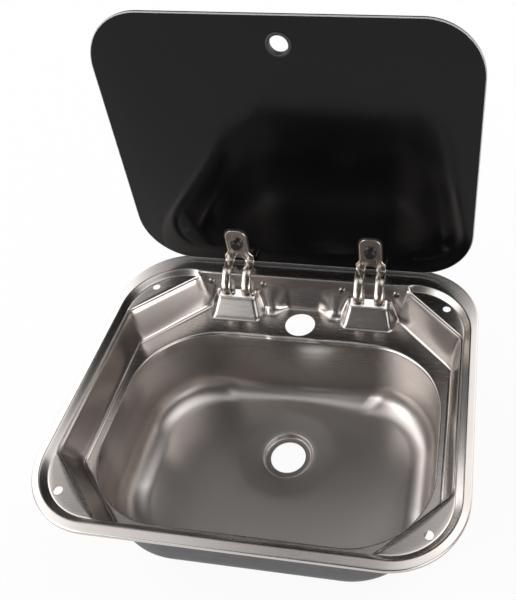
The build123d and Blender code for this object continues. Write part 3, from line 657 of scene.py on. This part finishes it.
def turn_to(direction):
    """The rotation that takes the upright axis to a direction: none, or a quarter turn."""
    if direction == UPRIGHT:
        return Matrix.Identity(3)
    return Matrix.Rotation(math.radians(90), 3, "X")


def bar(name, outline, centre, direction, length):
    """A closed bar: an outline stands at both ends of a length, and both ends are flat."""
    sides = len(outline)
    ends = [np.column_stack([outline, np.full(sides, height)])
            for height in (-length / 2, length / 2)]
    points = np.concatenate(ends) @ np.array(turn_to(direction)).T + np.array(centre)
    faces = [list(q) for q in grid_faces(2, sides)]
    faces += [list(range(sides))[::-1], list(range(sides, 2 * sides))]
    return put_mesh(name, points * MM, faces, None)


def round_punch(name, centre, direction, radius, length, sides=96):
    """A closed round bar."""
    angle = np.linspace(0, 2 * math.pi, sides, endpoint=False)
    circle = np.stack([radius * np.cos(angle), radius * np.sin(angle)], -1)
    return bar(name, circle, centre, direction, length)


def rounded_punch(name, centre, half_x, half_y, corner, length, direction=UPRIGHT):
    """A closed bar with a rounded rectangle for its section."""
    return bar(name, rounded_outline(half_x, half_y, corner, 48), centre, direction, length)


def punch(piece, tools):
    """Takes the tools' forms out of the piece, applies the result and deletes the tools."""
    for tool in tools:
        cut = piece.modifiers.new("punch", "BOOLEAN")
        cut.operation = "DIFFERENCE"
        cut.solver = "MANIFOLD"
        cut.object = tool
    bpy.context.view_layer.update()
    finished = bpy.data.meshes.new_from_object(
        piece.evaluated_get(bpy.context.evaluated_depsgraph_get()))
    piece.modifiers.clear()
    piece.data = finished
    for tool in tools:
        bpy.data.objects.remove(tool)


SCREW_X, SCREW_Y, SCREW_HOLE = 174.0, 136.5, 4.5
TAP_Y, TAP_HOLE = 132.0, 18.0
SLOT_HALF, SLOT_FRONT, SLOT_BACK, SLOT_CORNER = 22.0, 149.6, 164.4, 1.0
SLOT_TOP, SLOT_LOW = -17.7, -25.7
TAP_STROKE, SCREW_STROKE, GLASS_STROKE = 12, 8, 12  # how far each punch reaches through
SMALL_SIDES = 48
SHEET_SHARP = math.radians(38)
tools = [round_punch("tap_punch", (0, TAP_Y, LEDGE_HEIGHT), UPRIGHT, TAP_HOLE, TAP_STROKE)]
for sx in (-1, 1):
    for sy in (-1, 1):
        tools.append(round_punch("screw_punch", (sx * SCREW_X, sy * SCREW_Y, 0), UPRIGHT,
                                 SCREW_HOLE, SCREW_STROKE, SMALL_SIDES))
    slot_middle = (sx * HINGE_X, (SLOT_FRONT + SLOT_BACK) / 2, (SLOT_TOP + SLOT_LOW) / 2)
    tools.append(rounded_punch("slot_punch", slot_middle, SLOT_HALF, (SLOT_BACK - SLOT_FRONT) / 2,
                               SLOT_CORNER, SLOT_TOP - SLOT_LOW))
punch(sink, tools)
sink.data.set_sharp_from_angle(angle=SHEET_SHARP)
print("sheet after punching:", len(sink.data.polygons), "faces")

# %% [markdown]
# ## The glass lid
#
# The lid is toughened glass, printed black on its back. Its edge is ground round, and that
# ground band catches the light as a thin pale line. The section of the edge is a half circle
# flattened in the middle, carried round the lid's outline.

# %% Glass
GLASS_HALF_X, GLASS_HALF_Z, GLASS_CORNER, GLASS_THICK = 198.5, 159.0, 61.5, 4.0
GLASS_FOOT, GLASS_FRONT = 7.2, 185.5
GRINDING, GRIND_LOOPS = 1.1, 5  # how far the grinding reaches in from the edge, and its loops
GLASS_POINTS = 192
GROMMET_HOLE, BOLT_HOLE, CAP_HEIGHT, FINGER_Z = 11.3, 5.1, 36.8, 295.2
GLASS_SHARP = math.radians(30)
glass_middle_y, glass_middle_z = GLASS_FRONT + GLASS_THICK / 2, GLASS_FOOT + GLASS_HALF_Z

turn = np.linspace(0, math.pi / 2, GRIND_LOOPS)
rising, falling = GRINDING * (1 - np.sin(turn)), GRINDING * (1 - np.cos(turn))
inset = np.concatenate([rising, falling])
depth = np.concatenate([falling, GLASS_THICK - rising])
loops = []
for step_in, step_back in zip(inset, depth):
    outline = rounded_outline(GLASS_HALF_X - step_in, GLASS_HALF_Z - step_in,
                              GLASS_CORNER - step_in, GLASS_POINTS)
    loops.append(np.column_stack([outline[:, 0], np.full(len(outline), GLASS_FRONT + step_back),
                                  outline[:, 1] + glass_middle_z]))
sides = len(loops[0])
faces = [list(q) for q in grid_faces(len(loops), sides)]
faces += [list(range(sides))[::-1], list(range(sides * (len(loops) - 1), sides * len(loops)))]
pale_faces = (GRIND_LOOPS - 1) * sides  # only the front's grinding looks pale
glass = put_mesh("glass_lid", np.concatenate(loops) * MM, faces, "lid", "lid_glass",
                 [black_glass, ground_glass],
                 [1] * pale_faces + [0] * (len(faces) - pale_faces))
tools = [round_punch("finger_punch", (0, glass_middle_y, FINGER_Z), FRONT_TO_REAR, GROMMET_HOLE,
                     GLASS_STROKE)]
for sx in (-1, 1):
    bolt_middle = (sx * HINGE_X, glass_middle_y, CAP_HEIGHT)
    tools.append(round_punch("bolt_punch", bolt_middle, FRONT_TO_REAR, BOLT_HOLE, GLASS_STROKE,
                             SMALL_SIDES))
punch(glass, tools)
glass.data.set_sharp_from_angle(angle=GLASS_SHARP)
print("glass after punching:", len(glass.data.polygons), "faces")

# %% [markdown]
# ## The finger hole's grommet
#
# A soft ring is pressed into the glass, and one pulls the lid up by it. It is a turned form: a
# section of lips, waist and bore goes round the hole's middle line.

# %% Grommet
def turned(name, section, middle, body, node, materials, steps=96):
    """A ring turned about an axis that runs front to rear. Each section point is a radius and a
    depth; the section is closed."""
    angle = np.linspace(0, 2 * math.pi, steps, endpoint=False)[None, :]
    radius, deep = np.array(section).T[:, :, None]
    ring = np.stack([middle[0] + radius * np.cos(angle), middle[1] + deep + 0 * angle,
                     middle[2] + radius * np.sin(angle)], -1)
    faces = grid_faces(len(section), steps, wrap_rows=True)
    return put_mesh(name, ring.reshape(-1, 3) * MM, faces, body, node, materials)


GROMMET_BORE, GROMMET_OUTER, GROMMET_LIP = 9.5, 13.1, 1.6
LIP_POINTS, LIP_FULLNESS, LIP_SHARE = 9, 0.7, 0.98
LIP_OFF, WAIST_OFF, WAIST_OUT = 0.02, 0.05, 0.01  # hair gaps between the rubber and glass
lip = np.linspace(0, math.pi, LIP_POINTS)
middle_radius = (GROMMET_BORE + GROMMET_OUTER) / 2
aside = (GROMMET_OUTER - GROMMET_BORE) / 2 * np.cos(lip)
rise = GROMMET_LIP * np.sin(lip) ** LIP_FULLNESS * LIP_SHARE + LIP_OFF
waist = GROMMET_HOLE - WAIST_OFF
lip_section = np.concatenate([
    np.column_stack([middle_radius - aside, -rise]),
    [(waist, -WAIST_OUT), (waist, GLASS_THICK + WAIST_OUT)],
    np.column_stack([middle_radius + aside, GLASS_THICK + rise])])
grommet = turned("grommet", lip_section, (0, GLASS_FRONT, FINGER_Z), "lid",
                 "finger_hole_grommet", [rubber])
print("grommet points:", len(grommet.data.vertices))

# %% [markdown]
# ## Hinge hardware
#
# Caps, screws and brackets keep their CAD forms. Real stamped and turned parts have no knife
# edges, so each copy is welded, its flat facets are joined, and a small round is run along every
# hard edge. The other small parts only get their finish.

# %% Rounded copies of the CAD pieces
WELD, FLAT_JOIN, EASE_ANGLE = 0.000002, math.radians(1.0), math.radians(28.0)


def eased_copy(node, body, material, width, segments=2):
    """A copy of a CAD piece with its edges rounded by a width in metres."""
    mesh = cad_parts[node].data.copy()
    work = bmesh.new()
    work.from_mesh(mesh)
    bmesh.ops.remove_doubles(work, verts=work.verts, dist=WELD)
    bmesh.ops.dissolve_limit(work, angle_limit=FLAT_JOIN, verts=work.verts, edges=work.edges)
    work.to_mesh(mesh)
    work.free()
    mesh.materials.clear()
    mesh.materials.append(material)
    mesh.polygons.foreach_set("use_smooth", np.ones(len(mesh.polygons), bool))
    piece = bpy.data.objects.new("eased_" + node, mesh)
    bpy.context.scene.collection.objects.link(piece)
    bevel = piece.modifiers.new("ease", "BEVEL")
    bevel.width = width
    bevel.segments = segments
    bevel.limit_method = "ANGLE"
    bevel.angle_limit = EASE_ANGLE
    bevel.harden_normals = True
    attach(piece, body)
    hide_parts(node)
    return piece


for side in ("left", "right"):
    eased_copy("nut_cap_" + side, "lid", plastic, 0.0008, segments=3)
    eased_copy("hinge_screws_" + side, "sink", screw_steel, 0.00012)
    eased_copy("hinge_bracket_" + side, "sink", zinc, 0.00030)

finishes = {"hinge_pad": rubber, "lid_bolt": paint, "disc_gasket": rubber,
            "glass_sleeve": plastic, "lid_nut": zinc, "hinge_pin": zinc,
            "pin_clips": zinc, "pivot_washers": plastic, "hinge_nuts": zinc}
for stem, material in finishes.items():
    for side in ("left", "right"):
        piece = bpy.data.objects[stem + "_" + side]
        piece.data.materials.clear()
        piece.data.materials.append(material)
print("hardware dressed")

# %% [markdown]
# ## Hinge arms
#
# Each arm is one stamped strip of steel. A flat plate carries the glass, two shoulders with
# pressed pads widen it, and two legs bend over the rim and curl round the hinge pin under the
# sheet. The legs are slightly crowned, which stiffens them and draws a bright line down each.
# The strip is a grid: one direction follows the arm's side view, the other crosses the strip.

# %% Side view of the arm
PIVOT_Y, PIVOT_Z = 173.0, -8.6
STRIP, CURVE, PLATE_BEND, PIN_BEND = 1.5, 17.5, 4.0, 3.0
PLATE_Y, PLATE_TOP, PLATE_ROUND, EYE = 183.75, 56.8, 10.0, 3.3
ARM_TOP = PIVOT_Z + CURVE
LEG_SWEEP, EYE_SWEEP = math.radians(155), math.radians(285)
END_TURN = math.pi / 2 + LEG_SWEEP
LEG_SWING = 6.3  # the legs leave the circle by this much on their way down
SWING_FROM, SWING_OVER = 0.8, 1.2  # radians along the legs' sweep
TOP_POINTS, STEM_POINTS, LEG_POINTS, RUN_POINTS = 15, 60, 59, 6
FINE_STEP, SMALL_STEP = 0.12, 0.2  # radians between the points of an arc


def arc_points(centre, radius, start, sweep, step):
    """Points of an arc, a small angle apart, without its first point."""
    count = max(3, int(abs(sweep) / step))
    angle = start + sweep * np.linspace(0, 1, count + 1)[1:]
    return np.stack([centre[0] + radius * np.cos(angle), centre[1] + radius * np.sin(angle)], -1)


def line_points(start, end, count):
    """Points of a straight line, evenly apart, without its first point."""
    share = np.linspace(0, 1, count + 1)[1:, None]
    return np.array(start) * (1 - share) + np.array(end) * share


bend_reach = CURVE + LEG_SWING - PIN_BEND
pin_bend = (PIVOT_Y + bend_reach * math.cos(END_TURN), PIVOT_Z + bend_reach * math.sin(END_TURN))
touch = END_TURN - 2 * math.pi + math.acos((EYE - PIN_BEND) / bend_reach)
eye_touch = (PIVOT_Y + EYE * math.cos(touch), PIVOT_Z + EYE * math.sin(touch))
plate_rise = PLATE_ROUND * np.sin(np.linspace(math.pi / 2, 0, TOP_POINTS))
turned_by = np.linspace(0, LEG_SWEEP, LEG_POINTS + 1)[1:]
swing = np.clip((turned_by - SWING_FROM) / SWING_OVER, 0, 1)
wider = CURVE + LEG_SWING * (1 - np.cos(swing * math.pi)) / 2
spiral = np.stack([PIVOT_Y + wider * np.cos(turned_by + math.pi / 2),
                   PIVOT_Z + wider * np.sin(turned_by + math.pi / 2)], -1)
side_view = [
    np.column_stack([np.full(TOP_POINTS, PLATE_Y), PLATE_TOP - PLATE_ROUND + plate_rise]),
    line_points((PLATE_Y, PLATE_TOP - PLATE_ROUND), (PLATE_Y, ARM_TOP + PLATE_BEND), STEM_POINTS),
    arc_points((PLATE_Y - PLATE_BEND, ARM_TOP + PLATE_BEND), PLATE_BEND, 0, -math.pi / 2,
               FINE_STEP),
    line_points((PLATE_Y - PLATE_BEND, ARM_TOP), (PIVOT_Y, ARM_TOP), RUN_POINTS),
    spiral,
    arc_points(pin_bend, PIN_BEND, END_TURN, touch + 2 * math.pi - END_TURN, SMALL_STEP)]
side_view.append(line_points(side_view[-1][-1], eye_touch, RUN_POINTS))
side_view.append(arc_points((PIVOT_Y, PIVOT_Z), EYE, touch, EYE_SWEEP, SMALL_STEP))
side_view = np.concatenate(side_view)
print("arm path points:", len(side_view))

# %% [markdown]
# ## Hinge arms: the strip
#
# Across the strip the points stand closer together where the gap between the legs and the outer
# edges are. The gap and the hole for the lid's bolt are punched out of the finished strip.

# %% Strip of the arm
ARM_HALF, PLATE_HALF, GAP_HALF, ARCH_TOP, ARCH_CORNER = 18.0, 13.0, 7.0, 16.0, 6.5
SHOULDER_LOW, SHOULDER_HIGH = 16.4, 25.4
PLATE_POINTS = TOP_POINTS + STEM_POINTS
CROWN, LEG_MIDDLE, LEG_HALF, CROWN_LIMIT, CROWN_MEAN = 1.3, 12.5, 5.5, 1.1, 0.45
CROWN_STARTS, CROWN_STOPS, CROWN_FADES = 9, 26, 8  # millimetres along the strip
PAD_RISE, PAD_X, PAD_Z, PAD_WIDE, PAD_HIGH = 0.8, 12.4, 19.5, 2.5, 3.4
EDGE_WIDE, EDGE_DROP, INNER_SHARE, NO_EDGE = 0.9, 0.5, 0.5, 9
GAP_LOW, GAP_MIDDLE_Y, GAP_STROKE = -50, 170, 80
PLATE_HOLE, PLATE_STROKE = 3.2, 12
ARM_SHARP = math.radians(42)

half_across = np.array([0, 2.5, 5.0, 6.4, 7.0, 7.15, 7.4, 7.8, 8.6, 9.6, 10.6, 11.6, 12.5, 13.4,
                        14.4, 15.4, 16.3, 17.1, 17.5, 17.8, 17.95, 18.0])
across = np.concatenate([-half_across[:0:-1], half_across])


def strip_of_arm(where):
    """Points of the strip as closed loops, one for each point of the side view: the outer face
    from left to right, then the inner face back. A point is the side view's point, moved out
    along its normal by half the thickness, less the crown's parabola, plus the pads' bell
    curves, less a parabola along every edge."""
    y, z = side_view.T
    along = np.gradient(side_view, axis=0)
    along /= np.linalg.norm(along, axis=1)[:, None]
    out_y, out_z = along[:, 1], -along[:, 0]
    rise = np.clip((z - SHOULDER_LOW) / (SHOULDER_HIGH - SHOULDER_LOW), 0, 1)
    half = ARM_HALF - (ARM_HALF - PLATE_HALF) * rise * rise * (3 - 2 * rise)
    near_top = np.clip(z - (PLATE_TOP - PLATE_ROUND), 0, PLATE_ROUND)
    on_plate = np.arange(len(z)) < PLATE_POINTS
    rounded = PLATE_HALF - PLATE_ROUND + np.sqrt(PLATE_ROUND ** 2 - near_top ** 2)
    half = np.where(on_plate & (near_top > 0), rounded, half)
    aside = across[None, :] * half[:, None] / ARM_HALF
    far = np.abs(aside)
    travelled = np.concatenate([[0], np.cumsum(np.linalg.norm(np.diff(side_view, axis=0), axis=1))])
    begun = (travelled - travelled[PLATE_POINTS + 1]) / CROWN_STARTS
    left_over = (travelled[-1] - travelled - CROWN_STOPS) / CROWN_FADES
    crowned = np.clip(begun, 0, 1) * np.clip(left_over, 0, 1)
    off_middle = np.minimum(np.abs(far - LEG_MIDDLE) / LEG_HALF, CROWN_LIMIT)
    crown = -CROWN * crowned[:, None] * (off_middle ** 2 - CROWN_MEAN)
    pad = PAD_RISE * np.exp(-((far - PAD_X) / PAD_WIDE) ** 2
                            - ((z[:, None] - PAD_Z) / PAD_HIGH) ** 2) * on_plate[:, None]
    gap_x, gap_z = far - (GAP_HALF - ARCH_CORNER), z[:, None] - (ARCH_TOP - ARCH_CORNER)
    to_gap = np.hypot(np.maximum(gap_x, 0), np.maximum(gap_z, 0)) - ARCH_CORNER
    to_gap = np.where(on_plate[:, None], to_gap, far - GAP_HALF)
    to_top = np.where(on_plate, PLATE_TOP - z, NO_EDGE)
    to_edge = np.minimum(half[:, None] - far, to_top[:, None])
    nearest = np.clip(np.minimum(to_edge, np.abs(to_gap)) / EDGE_WIDE, 0, 1)
    roll = EDGE_DROP * (1 - nearest) ** 2
    loops = []
    for face, sign in ((STRIP / 2 - roll, 1), (-STRIP / 2 + roll * INNER_SHARE, -1)):
        offset = face + crown + pad
        loop = np.stack([where + aside, y[:, None] + out_y[:, None] * offset,
                         z[:, None] + out_z[:, None] * offset], -1)
        loops.append(loop[:, ::sign])
    return np.concatenate(loops, axis=1)


for side, where in (("left", -HINGE_X), ("right", HINGE_X)):
    points = strip_of_arm(where)
    rows, sides = points.shape[:2]
    faces = [list(q) for q in grid_faces(rows, sides)]
    first = np.arange(sides // 2 - 1)
    cap = np.stack([first, first + 1, sides - 2 - first, sides - 1 - first], -1)
    faces += [list(q) for q in cap[:, ::-1]] + [list(q) for q in cap + (rows - 1) * sides]
    arm = put_mesh("hinge_strip_" + side, points.reshape(-1, 3) * MM, faces, "lid",
                   "hinge_arm_" + side, [arm_steel])
    punch(arm, [rounded_punch("gap_punch", (where, GAP_MIDDLE_Y, (ARCH_TOP + GAP_LOW) / 2),
                              GAP_HALF, (ARCH_TOP - GAP_LOW) / 2, ARCH_CORNER, GAP_STROKE,
                              FRONT_TO_REAR),
                round_punch("plate_punch", (where, PLATE_Y, CAP_HEIGHT), FRONT_TO_REAR, PLATE_HOLE,
                            PLATE_STROKE, SMALL_SIDES)])
    arm.data.set_sharp_from_angle(angle=ARM_SHARP)
    print(side, "arm after punching:", len(arm.data.polygons), "faces")

# %% [markdown]
# ## Light
#
# A white studio without lamps. The world holds eight soft round patches of light, which the
# steel reflects, over a dim sky. The camera itself sees that sky as plain white.

# %% World
world = bpy.data.worlds.new("white_studio")
bpy.context.scene.world = world
world.use_nodes = True
tree = world.node_tree
tree.nodes.clear()
direction = tree.nodes.new("ShaderNodeTexCoord").outputs["Generated"]


def ramp(value, low, high, at_low, at_high):
    """A number that goes smoothly from one level to another as a value passes two marks."""
    node = tree.nodes.new("ShaderNodeMapRange")
    node.interpolation_type = "SMOOTHSTEP"
    for socket, number in zip(node.inputs[1:5], (low, high, at_low, at_high)):
        socket.default_value = number
    tree.links.new(value, node.inputs["Value"])
    return node.outputs["Result"]


SKY_LEVEL, GROUND_LEVEL, HORIZON = 0.06, 1.0, 0.02
PANEL_CORE, PANEL_EDGE = 5, 32  # degrees from a panel's middle: full light, none
PANELS = [  # name, degrees round from the right, degrees up, strength
    ("right_low", 320, 0, 6.0), ("left_low", 225, 10, 4.0), ("left_front", 210, 30, 1.5),
    ("rear_left", 150, 25, 2.5), ("rear_right", 45, 10, 2.0), ("left_high", 190, 50, 1.5),
    ("right_high", 50, 50, 1.5), ("overhead", 0, 70, 1.5)]


def panel(name, azimuth, elevation, strength):
    """A soft round patch of light: full near its middle direction, fading to nothing beyond."""
    round_by, up_by = math.radians(azimuth), math.radians(elevation)
    node = tree.nodes.new("ShaderNodeVectorMath")
    node.label = name
    node.operation = "DOT_PRODUCT"
    tree.links.new(direction, node.inputs[0])
    node.inputs[1].default_value = (math.cos(up_by) * math.cos(round_by),
                                    math.cos(up_by) * math.sin(round_by), math.sin(up_by))
    return ramp(node.outputs["Value"], math.cos(math.radians(PANEL_EDGE)),
                math.cos(math.radians(PANEL_CORE)), 0.0, strength)


upward = tree.nodes.new("ShaderNodeSeparateXYZ")
tree.links.new(direction, upward.inputs[0])
total = ramp(upward.outputs["Z"], -HORIZON, HORIZON, GROUND_LEVEL, SKY_LEVEL)
for panel_values in PANELS:
    total = combined(tree, "ADD", total, panel(*panel_values))
room = tree.nodes.new("ShaderNodeBackground")
room.inputs["Color"].default_value = (1, 1, 1, 1)
tree.links.new(total, room.inputs["Strength"])
sky = tree.nodes.new("ShaderNodeBackground")
sky.inputs["Color"].default_value = (1, 1, 1, 1)
rays = tree.nodes.new("ShaderNodeLightPath")
shown = tree.nodes.new("ShaderNodeMixShader")
tree.links.new(rays.outputs["Is Camera Ray"], shown.inputs["Fac"])
tree.links.new(room.outputs[0], shown.inputs[1])
tree.links.new(sky.outputs[0], shown.inputs[2])
output = tree.nodes.new("ShaderNodeOutputWorld")
tree.links.new(shown.outputs[0], output.inputs["Surface"])
print("panels of light:", len(PANELS))

# %% [markdown]
# ## Floor
#
# The floor glows nearly white to camera, glossy and glass rays, and it keeps a little of its
# own shading, so that the sink's shadow still shows. It lies a hair below the drain seat.

# %% Floor
FLOOR_HALF, FLOOR_GAP, FLOOR_GLOW = 4.0, 0.0004, 0.92
floor_z = cad_box[0][2] - FLOOR_GAP
floor_paint = bpy.data.materials.new("white_floor")
floor_paint.use_nodes = True
tree = floor_paint.node_tree
shader = tree.nodes["Principled BSDF"]
shader.inputs["Base Color"].default_value = (0.85, 0.85, 0.85, 1)
shader.inputs["Roughness"].default_value = 0.8
glow = tree.nodes.new("ShaderNodeEmission")
rays = tree.nodes.new("ShaderNodeLightPath")
shows = combined(tree, "MAXIMUM", rays.outputs["Is Camera Ray"], rays.outputs["Is Glossy Ray"])
shows = combined(tree, "MAXIMUM", shows, rays.outputs["Is Transmission Ray"])
blend = tree.nodes.new("ShaderNodeMixShader")
tree.links.new(combined(tree, "MULTIPLY", shows, FLOOR_GLOW), blend.inputs["Fac"])
tree.links.new(shader.outputs[0], blend.inputs[1])
tree.links.new(glow.outputs[0], blend.inputs[2])
tree.links.new(blend.outputs[0], tree.nodes["Material Output"].inputs["Surface"])
floor_corners = [(sx * FLOOR_HALF, sy * FLOOR_HALF, floor_z)
                 for sx, sy in ((-1, -1), (1, -1), (1, 1), (-1, 1))]
floor = put_mesh("floor", floor_corners, [(0, 1, 2, 3)], None, materials=[floor_paint])
print("floor at", round(floor_z, 4))

# %% [markdown]
# ## View transform
#
# The picture is shown through the plain standard view transform. The visual model must
# stay inside the CAD model's box.

# %% View transform
bpy.context.scene.view_settings.view_transform = "Standard"
bpy.context.view_layer.update()
